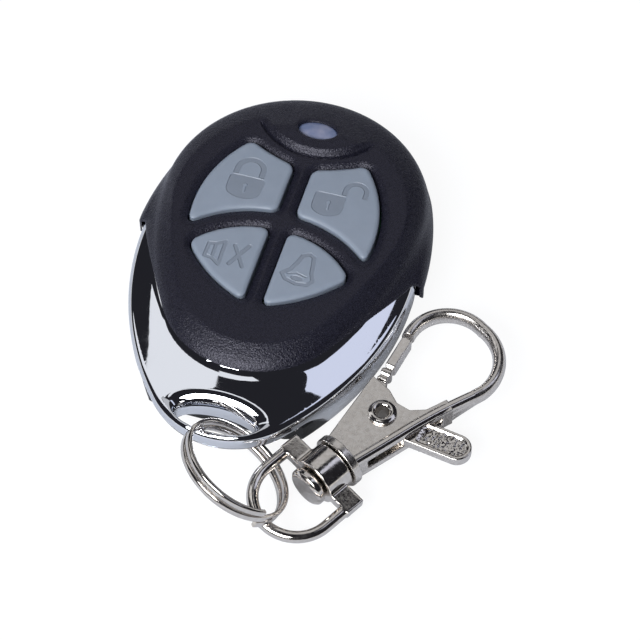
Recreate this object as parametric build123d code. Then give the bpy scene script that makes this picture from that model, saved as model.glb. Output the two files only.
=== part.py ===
from build123d import *
from math import atan2, cos, degrees, pi, sin, sqrt
import os

# Car key fob with a split ring and a swivel snap hook. Millimetres.
# The origin is the middle of the fob's flat back, +Z is up and +Y points to the indicator end.

# Case outline: a round top, two long flanks and a smaller round tail, all tangent
CASE_TOP_R = 19.0
CASE_TOP_Y = 8.6
CASE_FLANK_R = 42.0
CASE_TAIL_R = 13.0
CASE_TAIL_Y = -18.1

# Heights above the back
PART_Z = 3.9
BELLY_Z = 5.7
SHOULDER_Z = 7.5
SLOPE_Z = 9.4
FIELD_Z = 11.2
LOBE_Z = 12.0
WALL = 1.4
FLOOR = 1.4
JOIN_GAP = 0.05

# How far each level of the case stands inside its outline
BACK_INSET = 3.6
BACK_ROUND_Z = 1.3
BACK_ROUND_INSET = 1.5
PART_INSET = 0.5
SHOULDER_INSET = 0.4
CHROME_STEP = 1.0
CHROME_SHOULDER_INSET = 1.5

# Further outlines, each as what it adds to the case's top radius and place, flank radius,
# and tail radius and place: edge of the black cover's tongue over the chrome, the dome half
# way up its slope, the flatter field round the keys, and the indicator's lobe
TONGUE_ADDS = (0.9, -2.0, 78.0, 0.5, 11.2)
SLOPE_ADDS = (-1.0, -0.2, 2.0, 0.3, 11.1)
FIELD_ADDS = (-3.1, -2.5, 18.0, -1.5, 12.6)
LOBE_ADDS = (-7.8, 0.0, 8.0, -5.0, 12.6)
LIP = 0.25
NOTCH_Y = 0.9

# Sideways share of the wall at the slope and at the field, where the inside follows the dome
SLOPE_INWARD = 0.6
FIELD_INWARD = 0.4

# Lobe that carries the indicator window
CASE_END_Y = CASE_TOP_Y + CASE_TOP_R
LOBE_STEP_R = 9.0
LOBE_STEP_Y = CASE_END_Y - 2.8
LOBE_DRAFT = 0.8
WINDOW_Y = CASE_END_Y - 8.5
WINDOW_HALF_X = 2.5
WINDOW_HALF_Y = 1.4
WINDOW_RIM = 0.45
WINDOW_SINK = 0.35

# Key-ring slot and the solid tail that it goes through
SLOT_Y = CASE_TAIL_Y - CASE_TAIL_R + 3.95
SLOT_HALF_X = 5.4
SLOT_HALF_Y = 1.95
SLOT_FLARE = 0.5
TAIL_BLOCK_Y = SLOT_Y + 5.35
TAIL_CUT_Y = SLOT_Y + 3.85
TAIL_UNDER_Z = 4.7

# Keys: corners of the right-hand pair, each with the middle point of the edge after it,
# and the switches under them, all as shares of the field's top radius
UPPER_KEY = [(0.082, 0.233), (0.082, 0.755), (0.516, 0.925), (0.774, -0.075)]
UPPER_KEY_MIDDLES = [None, (0.289, 0.814), (0.767, 0.44), (0.453, 0.145)]
LOWER_KEY = [(0.082, 0.038), (0.698, -0.277), (0.082, -0.723)]
LOWER_KEY_MIDDLES = [(0.415, -0.047), (0.447, -0.528), None]
UPPER_SWITCH = (0.415, 0.465)
LOWER_SWITCH = (0.308, -0.277)
KEY_CORNER_R = 1.1
KEY_EDGE_R = 0.45
KEY_TOP_Z = 12.0
KEY_GAP = 0.25
KEY_FLANGE = 0.55
KEY_FLANGE_Z = 9.0
KEY_FLANGE_T = 0.5
KEY_TRAVEL = 0.5

# Silicone web under the keys
MAT_T = 0.45
MAT_MARGIN = 1.2
MAT_SKIRT = 0.9
MAT_GAP = 0.3

# Circuit board and what stands on it
BOARD_Z = 5.6
BOARD_T = 1.0
BOARD_INSET = 4.4
BOARD_END_Y = CASE_TAIL_Y + 3.3
SWITCH_SIDE = 4.0
SWITCH_H = 1.5
PLUNGER_R = 1.0
PLUNGER_FIT = 0.05
PLUNGER_DEEP = 0.55
PLUNGER_TO_KEY = 0.04
CHIP_SIZE = (5.0, 4.0, 1.4)
CHIP_AT = (0.0, -10.6)
CHIP_LEG = (0.35, 0.9, 0.25)
CHIP_LEGS_PER_SIDE = 4
RESONATOR_R = 2.3
RESONATOR_H = 1.2
CAPACITOR_R = 1.7
CAPACITOR_H = 1.3
BETWEEN_SWITCHES = (0.56, 0.09)
LOOP_WIRE_R = 0.4
LOOP_HALF_X = 6.4
LOOP_Y = CASE_END_Y - 10.4
LOOP_RISE = 1.1
LOOP_LEG = 2.0
LOOP_BEND_R = 0.64
LED_SIZE = (2.0, 1.25, 0.8)
SMALL_PART = (1.6, 0.8, 0.6)
SMALL_PARTS_Y = LOOP_Y - 2.6
SMALL_PARTS_AT = [(-3.5, SMALL_PARTS_Y), (0.0, SMALL_PARTS_Y), (3.5, SMALL_PARTS_Y),
                  (-5.6, -9.2), (5.6, -9.2), (0.0, 2.2), (0.0, -1.6)]

# Coin cell and its contacts
CELL_R = 10.0
CELL_H = 3.2
CELL_Y = 1.0
CELL_STEP = 0.35
CELL_STEP_R = 8.9
SPRING_T = 0.3
CONTACT_GAP = 0.05
CLIP_HALF_W = 3.2
CONTACT_R = 2.2

# Case screws
SCREW_RING_R = CASE_TOP_R - 3.7
SCREW_ANGLE = 0.711
SCREW_X = SCREW_RING_R * cos(SCREW_ANGLE)
SCREW_Y = CASE_TOP_Y + SCREW_RING_R * sin(SCREW_ANGLE)
SCREW_PLACES = [(-SCREW_X, SCREW_Y), (SCREW_X, SCREW_Y), (0.0, CASE_TAIL_Y + 0.5)]
SCREW_R = 0.85
SCREW_HEAD_R = 1.6
SCREW_HEAD_H = 1.0
SCREW_LENGTH = 6.2
SCREW_SINK = 1.5
SCREW_SEAT = 1.0
BOSS_R = 2.1
SCREW_GAP = 0.02
POST_R = 1.1
POST_X = CASE_TOP_R - 5.9
POST_PLACES = [(-POST_X, -4.0), (POST_X, -4.0), (-POST_X, 10.6), (POST_X, 10.6)]

# Split ring: two turns of wire, lying over the slot's end bar
RING_R = 7.5
RING_WIRE_R = 0.33
RING_PITCH = 1.08
RING_TURNS = 2
RING_CENTRE = (4.97, SLOT_Y - 6.59, 7.46)
RING_NORMAL = (0.485, 0.412, 0.772)

# Snap hook, drawn along its stem: X to the bow, Y to the gate's side, Z out of the plate
HOOK_AT = (16.5, SLOT_Y + 0.65, 3.8)
HOOK_TURN = 60.0
HOOK_TILT = -1.0
EYE_ROLL = 6.8
FLANGE_R = 3.7
FLANGE_X = (-0.6, 0.55)
STEM_R = 1.5
HEAD_R = 2.7
HEAD_X = (-6.2, -4.75)
STEM_FIT = 0.05
BARREL_R = 3.3
BARREL_X = (-4.55, -0.8)
EYE_HALF_W = 5.5
EYE_WIRE_R = 0.8
EYE_BEND_X = -7.7
LUG_X = (-4.6, -1.8)
LUG_HALF_W = 6.3
LUG_HALF_T = 0.8
PLATE_HALF_T = 1.75
BOW_HALF_T = 1.25
BOW_HALF_W = 0.9
SLIT_HALF_T = 0.85
SLIT_START_X = 2.2
SLIT_END_X = 13.75
SLIT_STEP_X = 9.85
SLIT_START_Y = 2.3
SLIT_STEP_Y = 4.1
SLIT_OUT_Y = 7.0
PLATE_EDGE = [(0.0, 2.7), (11.4, 5.5), (11.4, 2.4), (10.7, 0.3), (11.1, -1.6), (12.7, -3.0),
              (15.7, -3.8), (15.2, -5.5), (10.6, -4.4), (0.0, -2.7)]
ARM_LINE = [(12.9, -4.0), (20.5, -5.65)]
BOW_CURVE = [(25.7, -3.8), (27.7, 1.2), (25.5, 6.6), (19.6, 7.2)]

# Snap hook, gate and rivet
PIVOT = (8.2, 0.5)
GATE_TIP = (19.05, 6.8)
GATE_ROOT = (12.1, 4.6)
GATE_HALF_W = 0.7
GATE_HALF_T = 1.1
LEVER_HALF_T = 0.75
LEVER_HUB_R = 2.4
TAB_HALF_W = 1.95
TAB_END = (11.95, -9.3)
RIVET_R = 1.25
RIVET_BORE_R = 0.93
RIVET_HEAD_R = 1.9
RIVET_HEAD_T = 0.35
RIVET_FIT = 0.02
GATE_FIT = 0.05
SPRING_WIRE_R = 0.2
SPRING_COIL_R = 1.75
SPRING_LEG = 2.9


class Outline:
    """Closed outline of four tangent arcs, the same on both sides of the Y axis."""

    def __init__(self, top_r, top_y, flank_r, tail_r, tail_y):
        self.top_r, self.top_y, self.flank_r = top_r, top_y, flank_r
        self.tail_r, self.tail_y = tail_r, tail_y
        to_top = flank_r - top_r
        to_tail = flank_r - tail_r
        span = top_y - tail_y
        below = (to_top**2 - to_tail**2 + span**2) / (2 * span)
        self.flank_x = -sqrt(to_top**2 - below**2)
        self.flank_y = top_y - below
        self.top_angle = atan2(top_y - self.flank_y, -self.flank_x)
        self.tail_angle = atan2(tail_y - self.flank_y, -self.flank_x)

    def on_flank(self, angle, inset):
        r = self.flank_r - inset
        return (self.flank_x + r * cos(angle), self.flank_y + r * sin(angle))

    def face(self, z, inset=0.0):
        upper = self.on_flank(self.top_angle, inset)
        middle = self.on_flank((self.top_angle + self.tail_angle) / 2, inset)
        lower = self.on_flank(self.tail_angle, inset)
        top = (0.0, self.top_y + self.top_r - inset)
        tail = (0.0, self.tail_y - self.tail_r + inset)
        right = [(x, y, z) for x, y in (upper, middle, lower)]
        left = [(-x, y, z) for x, y in (lower, middle, upper)]
        arcs = [
            Edge.make_three_point_arc(*right),
            Edge.make_three_point_arc(right[2], (*tail, z), left[0]),
            Edge.make_three_point_arc(*left),
            Edge.make_three_point_arc(left[2], (*top, z), right[0]),
        ]
        return Face(Wire(arcs))


CASE_SHAPE = (CASE_TOP_R, CASE_TOP_Y, CASE_FLANK_R, CASE_TAIL_R, CASE_TAIL_Y)
CASE = Outline(*CASE_SHAPE)
TONGUE = Outline(*[size + more for size, more in zip(CASE_SHAPE, TONGUE_ADDS)])
SLOPE = Outline(*[size + more for size, more in zip(CASE_SHAPE, SLOPE_ADDS)])
FIELD = Outline(*[size + more for size, more in zip(CASE_SHAPE, FIELD_ADDS)])
LOBE = Outline(*[size + more for size, more in zip(CASE_SHAPE, LOBE_ADDS)])
FAR = 200.0


def slab(y_low, y_high, z_low=-FAR, z_high=FAR):
    """A wide block between two Y planes and two heights."""
    block = Box(FAR, y_high - y_low, z_high - z_low)
    return Pos(0, (y_low + y_high) / 2, (z_low + z_high) / 2) * block


def prism(face, z_low, z_high):
    """A face drawn at height 0, raised between two heights."""
    return Pos(0, 0, z_low) * extrude(face, z_high - z_low, dir=(0, 0, 1))


def oval(half_x, half_y, y):
    return Pos(0, y, 0) * Face(Wire(Edge.make_ellipse(half_x, half_y)))


def disc(radius, place, z_low, z_high):
    return Pos(place[0], place[1], (z_low + z_high) / 2) * Cylinder(radius, z_high - z_low)


def block(size, place, z_low):
    return Pos(place[0], place[1], z_low + size[2] / 2) * Box(*size)


def tongue_zone(gap):
    """Everything that the black cover may fill: its tongue and all beyond the side notches."""
    tongue = prism(TONGUE.face(0, gap), -1, FIELD_Z + 3)
    return tongue + slab(NOTCH_Y + gap, FAR, -1, FIELD_Z + 3)


def dome(lower):
    """Cover's outside above the shoulder with the lobe, or its inside when lowered by the wall."""
    slope = SLOPE.face(SLOPE_Z - lower, lower * SLOPE_INWARD)
    flank = loft([CASE.face(SHOULDER_Z - lower, SHOULDER_INSET + lower), slope], ruled=True)
    levels = [slope, FIELD.face(FIELD_Z - lower, lower * FIELD_INWARD)]
    if not lower:
        levels.append(LOBE.face(LOBE_Z))
    return flank + loft(levels)


def skirt(lower):
    """Cover's outside wall below the shoulder, or its inside when moved in by the wall."""
    levels = [
        CASE.face(PART_Z, PART_INSET + lower),
        CASE.face(BELLY_Z, lower),
        CASE.face(SHOULDER_Z - lower, SHOULDER_INSET + lower),
    ]
    return loft(levels, ruled=True)


def on_field(share):
    """A point of the keypad, given as shares of the field's top radius."""
    return (share[0] * FIELD.top_r, share[1] * FIELD.top_r)


def key_face(corners, middles, grow=0.0):
    """Plan of a right-hand key: straight or bowed edges with round corners."""
    edges = []
    for i, corner in enumerate(corners):
        start = on_field(corner)
        end = on_field(corners[(i + 1) % len(corners)])
        through = middles[i] and on_field(middles[i])
        if through is None:
            edges.append(Edge.make_line(start, end))
        else:
            edges.append(Edge.make_three_point_arc(start, through, end))
    face = Face(Wire(edges))
    if grow:
        face = offset(face, grow, kind=Kind.INTERSECTION)
    return fillet(face.vertices(), KEY_CORNER_R + grow).face()


def key_faces(grow=0.0):
    """Plans of all four keys, by name."""
    upper = key_face(UPPER_KEY, UPPER_KEY_MIDDLES, grow)
    lower = key_face(LOWER_KEY, LOWER_KEY_MIDDLES, grow)
    return {
        "lock": mirror(upper, Plane.YZ),
        "unlock": upper,
        "mute": mirror(lower, Plane.YZ),
        "chime": lower,
    }


def switch_places():
    x, y = on_field(UPPER_SWITCH)
    lower_x, lower_y = on_field(LOWER_SWITCH)
    return {"lock": (-x, y), "unlock": (x, y), "mute": (-lower_x, lower_y), "chime": (lower_x, lower_y)}


def top_shell():
    """Black cover with its dome, lobe, four key pockets, window and screw bosses."""
    outer = skirt(0) + dome(0)
    field = prism(FIELD.face(0), FIELD_Z, LOBE_Z + 1)
    lobe = Pos(0, LOBE_STEP_Y, FIELD_Z) * Cone(
        LOBE_STEP_R + LOBE_DRAFT, LOBE_STEP_R, LOBE_Z - FIELD_Z + 1,
        align=(Align.CENTER, Align.CENTER, Align.MIN),
    )
    outer -= field - lobe
    shell = (outer & tongue_zone(0)) - dome(WALL) - skirt(WALL)
    roof_z = FIELD_Z - WALL
    bosses = [disc(BOSS_R, p, FLOOR + SCREW_SEAT + JOIN_GAP, roof_z + 0.3) for p in SCREW_PLACES]
    for boss in bosses:
        shell += boss & outer
    for place in SCREW_PLACES:
        shell -= disc(SCREW_R + SCREW_GAP, place, 0, SCREW_SINK + SCREW_LENGTH)
    for plan in key_faces(KEY_GAP).values():
        shell -= prism(plan, roof_z - 1, LOBE_Z + 1)
    shell -= prism(oval(WINDOW_HALF_X + JOIN_GAP, WINDOW_HALF_Y + JOIN_GAP, WINDOW_Y), 0, FAR)
    rim = oval(WINDOW_HALF_X + WINDOW_RIM, WINDOW_HALF_Y + WINDOW_RIM, WINDOW_Y)
    shell -= prism(rim, LOBE_Z - WINDOW_SINK, FAR)
    return shell


def chrome_skin(lower):
    """Outside of the chrome shroud, or its inside when moved in by the wall."""
    side = loft(
        [
            CASE.face(PART_Z, CHROME_STEP + PART_INSET + lower),
            CASE.face(BELLY_Z, CHROME_STEP + lower),
            CASE.face(SHOULDER_Z - lower, CHROME_SHOULDER_INSET + lower),
        ],
        ruled=True,
    )
    top = loft(
        [
            CASE.face(SHOULDER_Z - lower, CHROME_SHOULDER_INSET + lower),
            SLOPE.face(SLOPE_Z - LIP - lower, lower * SLOPE_INWARD),
            FIELD.face(FIELD_Z - LIP - lower, lower * FIELD_INWARD),
        ]
    )
    return side + top


def slot_tool():
    """Straight slot whose upper end opens out into a shallow dish."""
    dish = loft(
        [
            Pos(0, 0, TAIL_UNDER_Z) * oval(SLOT_HALF_X, SLOT_HALF_Y, SLOT_Y),
            Pos(0, 0, FIELD_Z) * oval(SLOT_HALF_X + SLOT_FLARE, SLOT_HALF_Y + SLOT_FLARE, SLOT_Y),
        ]
    )
    return prism(oval(SLOT_HALF_X, SLOT_HALF_Y, SLOT_Y), -1, FIELD_Z) + dish


def chrome_bezel():
    """U-shaped shroud with a solid tail and the slot through it."""
    shroud = chrome_skin(0) & slab(-FAR, NOTCH_Y - JOIN_GAP)
    hollow = chrome_skin(WALL) & slab(TAIL_BLOCK_Y, FAR)
    shroud -= hollow
    shroud -= tongue_zone(-JOIN_GAP)
    shroud -= slab(-FAR, TAIL_CUT_Y, -1, TAIL_UNDER_Z)
    return shroud - slot_tool()


def bottom_shell():
    """Lower case: a tray with a flat back, board posts and screw seats, cut off short of the slot."""
    outer = loft(
        [
            CASE.face(0, BACK_INSET),
            CASE.face(BACK_ROUND_Z, BACK_ROUND_INSET),
            CASE.face(PART_Z - JOIN_GAP, CHROME_STEP + PART_INSET),
        ],
        ruled=True,
    )
    inner = loft(
        [
            CASE.face(FLOOR, BACK_ROUND_INSET + WALL),
            CASE.face(PART_Z, CHROME_STEP + PART_INSET + WALL),
        ],
        ruled=True,
    )
    tray = (outer - inner) & slab(TAIL_CUT_Y + JOIN_GAP, FAR)
    end_wall = outer & slab(TAIL_CUT_Y + JOIN_GAP, TAIL_BLOCK_Y, -1, PART_Z - JOIN_GAP)
    tray += end_wall
    for place in POST_PLACES:
        tray += disc(POST_R, place, FLOOR - 0.2, BOARD_Z - CONTACT_GAP)
    for place in SCREW_PLACES:
        tray += disc(BOSS_R, place, FLOOR - 0.2, FLOOR + SCREW_SEAT)
        tray -= disc(SCREW_HEAD_R + 0.2, place, -1, SCREW_SINK)
        tray -= disc(BOSS_R + 0.1, place, FLOOR + SCREW_SEAT, PART_Z)
        tray -= disc(SCREW_R + 0.1, place, -1, PART_Z)
    return tray


def keys():
    """Silicone keys, each with the flange that keeps it under the cover and a nib for its switch."""
    flanges = key_faces(KEY_FLANGE)
    made = {}
    for name, plan in key_faces().items():
        cap = prism(plan, KEY_FLANGE_Z, KEY_TOP_Z)
        rim = cap.faces().sort_by(Axis.Z)[-1].edges()
        cap = fillet(rim, KEY_EDGE_R)
        cap += prism(flanges[name], KEY_FLANGE_Z, KEY_FLANGE_Z + KEY_FLANGE_T)
        nib_low = BOARD_Z + BOARD_T + SWITCH_H + KEY_TRAVEL + 0.1 + PLUNGER_TO_KEY
        cap += disc(PLUNGER_R, switch_places()[name], nib_low, KEY_FLANGE_Z + 0.1)
        made[name + "_key"] = cap
    return made


def keypad_mat():
    """Silicone web round the keys, with a skirt that stands on the board."""
    outline = FIELD.face(0, MAT_MARGIN)
    inside = FIELD.face(0, MAT_MARGIN + MAT_SKIRT)
    top = KEY_FLANGE_Z + MAT_T
    end = slab(BOARD_END_Y + MAT_GAP, FAR)
    web = prism(outline, KEY_FLANGE_Z, top) & end
    skirt_low = BOARD_Z + BOARD_T + CONTACT_GAP
    wall = prism(outline, skirt_low, KEY_FLANGE_Z) - prism(inside, skirt_low, KEY_FLANGE_Z)
    web += wall & end
    for plan in key_faces(KEY_FLANGE + MAT_GAP).values():
        web -= prism(plan, 0, FAR)
    for place in SCREW_PLACES:
        web -= disc(BOSS_R + MAT_GAP, place, 0, FAR)
    web -= prism(oval(WINDOW_HALF_X + 1.0, WINDOW_HALF_Y + 1.0, WINDOW_Y), 0, FAR)
    return web


def led_lens():
    """Oval light pipe from the indicator up to the window."""
    low = BOARD_Z + BOARD_T + LED_SIZE[2] + 0.25
    pipe = prism(oval(WINDOW_HALF_X, WINDOW_HALF_Y, WINDOW_Y), low, LOBE_Z - WINDOW_SINK + 0.1)
    collar = oval(WINDOW_HALF_X + 0.6, WINDOW_HALF_Y + 0.6, WINDOW_Y)
    roof_z = FIELD_Z - WALL
    return pipe + prism(collar, roof_z - 0.55, roof_z - CONTACT_GAP)


def circuit_board():
    """Board that follows the case, with notches for the screw bosses."""
    board = prism(CASE.face(0, BOARD_INSET), BOARD_Z, BOARD_Z + BOARD_T)
    board &= slab(BOARD_END_Y, FAR)
    for place in SCREW_PLACES:
        board -= disc(BOSS_R + 0.4, place, 0, FAR)
    return board


def switches():
    """Tact switches and their plungers, one pair under each key."""
    top = BOARD_Z + BOARD_T
    made = {}
    for name, place in switch_places().items():
        body = block((SWITCH_SIDE, SWITCH_SIDE, SWITCH_H), place, top)
        body -= disc(PLUNGER_R + PLUNGER_FIT, place, top + SWITCH_H - PLUNGER_DEEP - KEY_TRAVEL - 0.05, FAR)
        plunger_top = top + SWITCH_H + KEY_TRAVEL + 0.1
        made[name + "_switch"] = body
        made[name + "_plunger"] = disc(PLUNGER_R, place, top + SWITCH_H - PLUNGER_DEEP, plunger_top)
    return made


def controller_chip():
    """Controller in its small-outline case, with its legs."""
    top = BOARD_Z + BOARD_T
    chip = block(CHIP_SIZE, CHIP_AT, top + CONTACT_GAP)
    pitch = CHIP_SIZE[0] / CHIP_LEGS_PER_SIDE
    for i in range(CHIP_LEGS_PER_SIDE):
        x = CHIP_AT[0] + (i - (CHIP_LEGS_PER_SIDE - 1) / 2) * pitch
        for side in (-1, 1):
            y = CHIP_AT[1] + side * (CHIP_SIZE[1] / 2 + CHIP_LEG[1] / 2 - 0.1)
            chip += block(CHIP_LEG, (x, y), top + CONTACT_GAP)
    return chip


def between_switches(side):
    """Where a round part stands on the board, between the switches of one side."""
    x, y = on_field(BETWEEN_SWITCHES)
    return (side * x, y)


def rf_resonator():
    top = BOARD_Z + BOARD_T
    can = disc(RESONATOR_R, between_switches(-1), top, top + RESONATOR_H)
    return fillet(can.faces().sort_by(Axis.Z)[-1].edges(), 0.3)


def tuning_capacitor():
    """Round trimmer with a screwdriver slot."""
    top = BOARD_Z + BOARD_T
    place = between_switches(1)
    can = disc(CAPACITOR_R, place, top, top + CAPACITOR_H)
    groove = (CAPACITOR_R * 1.4, 0.4, 0.4)
    return can - block(groove, place, top + CAPACITOR_H - groove[2])


def antenna_loop():
    """Wire staple that stands on the board near the indicator."""
    foot = BOARD_Z + BOARD_T
    high = foot + LOOP_RISE
    foot_y = LOOP_Y - LOOP_LEG
    points = [
        (-LOOP_HALF_X, foot_y, foot),
        (-LOOP_HALF_X, foot_y, high),
        (-LOOP_HALF_X, LOOP_Y, high),
        (LOOP_HALF_X, LOOP_Y, high),
        (LOOP_HALF_X, foot_y, high),
        (LOOP_HALF_X, foot_y, foot),
    ]
    path = FilletPolyline(*points, radius=LOOP_BEND_R)
    start = Plane(origin=points[0], z_dir=(0, 0, 1))
    return sweep(start * Circle(LOOP_WIRE_R), path=path)


def chip_parts():
    """Small resistors and capacitors on the board."""
    top = BOARD_Z + BOARD_T
    return Compound([block(SMALL_PART, place, top) for place in SMALL_PARTS_AT])


def indicator_led():
    return block(LED_SIZE, (0, WINDOW_Y), BOARD_Z + BOARD_T)


def cell_low():
    return FLOOR + CONTACT_GAP * 2 + SPRING_T


def coin_cell():
    """Round cell with the smaller contact face up."""
    low = cell_low()
    can = disc(CELL_R, (0, CELL_Y), low, low + CELL_H - CELL_STEP)
    return can + disc(CELL_STEP_R, (0, CELL_Y), low, low + CELL_H)


def battery_plus_clip():
    """Spring strap under the cell, with a leg up to the board on each side."""
    low = FLOOR + CONTACT_GAP
    reach = CELL_R + 0.3 + SPRING_T
    strap = block((2 * reach, 2 * CLIP_HALF_W, SPRING_T), (0, CELL_Y), low)
    for side in (-1, 1):
        x = side * (reach - SPRING_T / 2)
        leg = (SPRING_T, 2 * CLIP_HALF_W, BOARD_Z - CONTACT_GAP - low)
        strap += block(leg, (x, CELL_Y), low)
    return strap


def battery_minus_contact():
    """Dished contact between the cell and the board."""
    low = cell_low() + CELL_H + CONTACT_GAP
    return disc(CONTACT_R, (0, CELL_Y), low, BOARD_Z - CONTACT_GAP)


def case_screws():
    """Identical screws with a cross recess, heads sunk in the back."""
    screws = []
    for place in SCREW_PLACES:
        screw = disc(SCREW_R, place, SCREW_SINK - SCREW_HEAD_H, SCREW_SINK + SCREW_LENGTH - 0.3)
        screw += disc(SCREW_HEAD_R, place, SCREW_SINK - SCREW_HEAD_H, SCREW_SINK - 0.02)
        for size in ((1.8, 0.4, 0.9), (0.4, 1.8, 0.9)):
            screw -= block(size, place, SCREW_SINK - SCREW_HEAD_H - 0.45)
        screws.append(screw)
    return Compound(screws)


def biarc(start, start_way, end, end_way):
    """Two tangent arcs that leave and arrive along the given unit directions."""
    chord = end - start
    ways = start_way + end_way
    a = ways.dot(ways) - 4
    b = -2 * chord.dot(ways)
    c = chord.dot(chord)
    reach = (-b - sqrt(b * b - 4 * a * c)) / (2 * a)
    joint = (start + start_way * reach + end - end_way * reach) / 2
    first = Edge.make_tangent_arc(start, start_way, joint)
    middle_way = first.tangent_at(1)
    return [first, Edge.make_tangent_arc(joint, middle_way, end)]


def coil_point(angle):
    """Point and direction on the split ring's centre line, about its own axis."""
    rise = RING_PITCH / (2 * pi)
    height = rise * (angle - RING_TURNS * pi)
    point = Vector(RING_R * cos(angle), RING_R * sin(angle), height)
    way = Vector(-RING_R * sin(angle), RING_R * cos(angle), rise).normalized()
    return point, way


def split_ring():
    """Two turns of wire in one unbroken tube, leaning over the slot's end bar."""
    edges = []
    quarters = 4 * RING_TURNS
    for i in range(quarters):
        start, start_way = coil_point(i * pi / 2)
        end, end_way = coil_point((i + 1) * pi / 2)
        edges += biarc(start, start_way, end, end_way)
    path = Wire(edges)
    start, way = coil_point(0)
    tube = sweep(Plane(origin=start, z_dir=way) * Circle(RING_WIRE_R), path=path)
    turned = Plane(origin=RING_CENTRE, x_dir=ring_start(), z_dir=RING_NORMAL)
    return turned.location * tube


def ring_start():
    """Direction from the ring's centre to the wire's ends."""
    normal = Vector(*RING_NORMAL).normalized()
    return normal.cross(Vector(0, 0, 1)).normalized()


def ring_gap():
    """Least gap between the ring's turns, measured on points of its centre line."""
    steps = 180
    points = [coil_point(i * 2 * pi * RING_TURNS / steps)[0] for i in range(steps + 1)]
    apart = steps // (2 * RING_TURNS)
    gaps = [(p - q).length for i, p in enumerate(points) for q in points[i + apart:]]
    return min(gaps) - 2 * RING_WIRE_R


def along_x(radius, x_low, x_high):
    """A round bar about the hook's stem axis."""
    return Pos((x_low + x_high) / 2, 0, 0) * Rot(0, 90, 0) * Cylinder(radius, x_high - x_low)


def plate(face, half):
    """A face in the hook's plane, given the same thickness on both sides."""
    return prism(face, -half, half)


def polygon(points):
    return Face(Wire.make_polygon([(x, y, 0) for x, y in points]))


def round_plate(points, half_width, half):
    """A plate along a line of points, with the same width all along and round ends."""
    shape = None
    for start, end in zip(points, points[1:]):
        run = Vector(end[0] - start[0], end[1] - start[1])
        middle = ((start[0] + end[0]) / 2, (start[1] + end[1]) / 2)
        bar = Box(run.length, 2 * half_width, 2 * half)
        bar = Pos(middle[0], middle[1], 0) * Rot(0, 0, degrees(atan2(run.Y, run.X))) * bar
        bar += disc(half_width, start, -half, half)
        bar += disc(half_width, end, -half, half)
        shape = bar if shape is None else shape + bar
    return shape


def bow_path():
    """Centre line of the arm and the bow, from the plate round to the tip."""
    arm = Edge.make_line(*ARM_LINE)
    turn = Edge.make_three_point_arc(ARM_LINE[1], BOW_CURVE[0], BOW_CURVE[1])
    back = Edge.make_three_point_arc(*BOW_CURVE[1:])
    return Wire([arm, turn, back])


def hook_body():
    """Cast hook: flange, slit plate, arm and bow."""
    body = plate(polygon(PLATE_EDGE), PLATE_HALF_T)
    slit = polygon([
        (SLIT_START_X, SLIT_START_Y),
        (SLIT_STEP_X, SLIT_STEP_Y),
        (SLIT_STEP_X, SLIT_OUT_Y),
        (SLIT_END_X, SLIT_OUT_Y),
        (SLIT_END_X, -SLIT_OUT_Y),
        (SLIT_START_X, -SLIT_OUT_Y),
    ])
    body -= plate(slit, SLIT_HALF_T)
    path = bow_path()
    start = path.position_at(0)
    section = Plane(origin=start, x_dir=(0, 0, 1), z_dir=path.tangent_at(0))
    body += sweep(section * Ellipse(BOW_HALF_T, BOW_HALF_W), path=path) - plate(slit, SLIT_HALF_T)
    body += along_x(FLANGE_R, *FLANGE_X)
    body -= along_x(STEM_R + RIVET_FIT, FLANGE_X[0] - 1, FLANGE_X[1])
    return body - disc(RIVET_R + RIVET_FIT, PIVOT, -FAR, FAR)


def swivel_stem():
    """Headed stem that holds the eye to the hook's flange."""
    stem = along_x(STEM_R, HEAD_X[0] + 0.2, FLANGE_X[1] - 0.1)
    head = along_x(HEAD_R, *HEAD_X)
    head = chamfer(head.edges().filter_by(GeomType.CIRCLE), 0.4)
    return stem + head


def swivel_eye():
    """Cast eye: a barrel on the stem, two lugs and a D-shaped loop."""
    loop_path = Wire([
        Edge.make_line((LUG_X[1] - 0.6, EYE_HALF_W, 0), (EYE_BEND_X, EYE_HALF_W, 0)),
        Edge.make_three_point_arc(
            (EYE_BEND_X, EYE_HALF_W, 0), (EYE_BEND_X - EYE_HALF_W, 0, 0), (EYE_BEND_X, -EYE_HALF_W, 0)
        ),
        Edge.make_line((EYE_BEND_X, -EYE_HALF_W, 0), (LUG_X[1] - 0.6, -EYE_HALF_W, 0)),
    ])
    start = Plane(origin=loop_path.position_at(0), z_dir=loop_path.tangent_at(0))
    eye = sweep(start * Circle(EYE_WIRE_R), path=loop_path)
    lug_length = LUG_X[1] - LUG_X[0]
    middle_x = (LUG_X[0] + LUG_X[1]) / 2
    for side in (-1, 1):
        width = LUG_HALF_W - STEM_R - 0.5
        lug = Box(lug_length, width, 2 * LUG_HALF_T)
        eye += Pos(middle_x, side * (LUG_HALF_W - width / 2), 0) * lug
    eye += along_x(BARREL_R, *BARREL_X)
    return eye - along_x(STEM_R + STEM_FIT, BARREL_X[0] - 3, BARREL_X[1] + 3)


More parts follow.
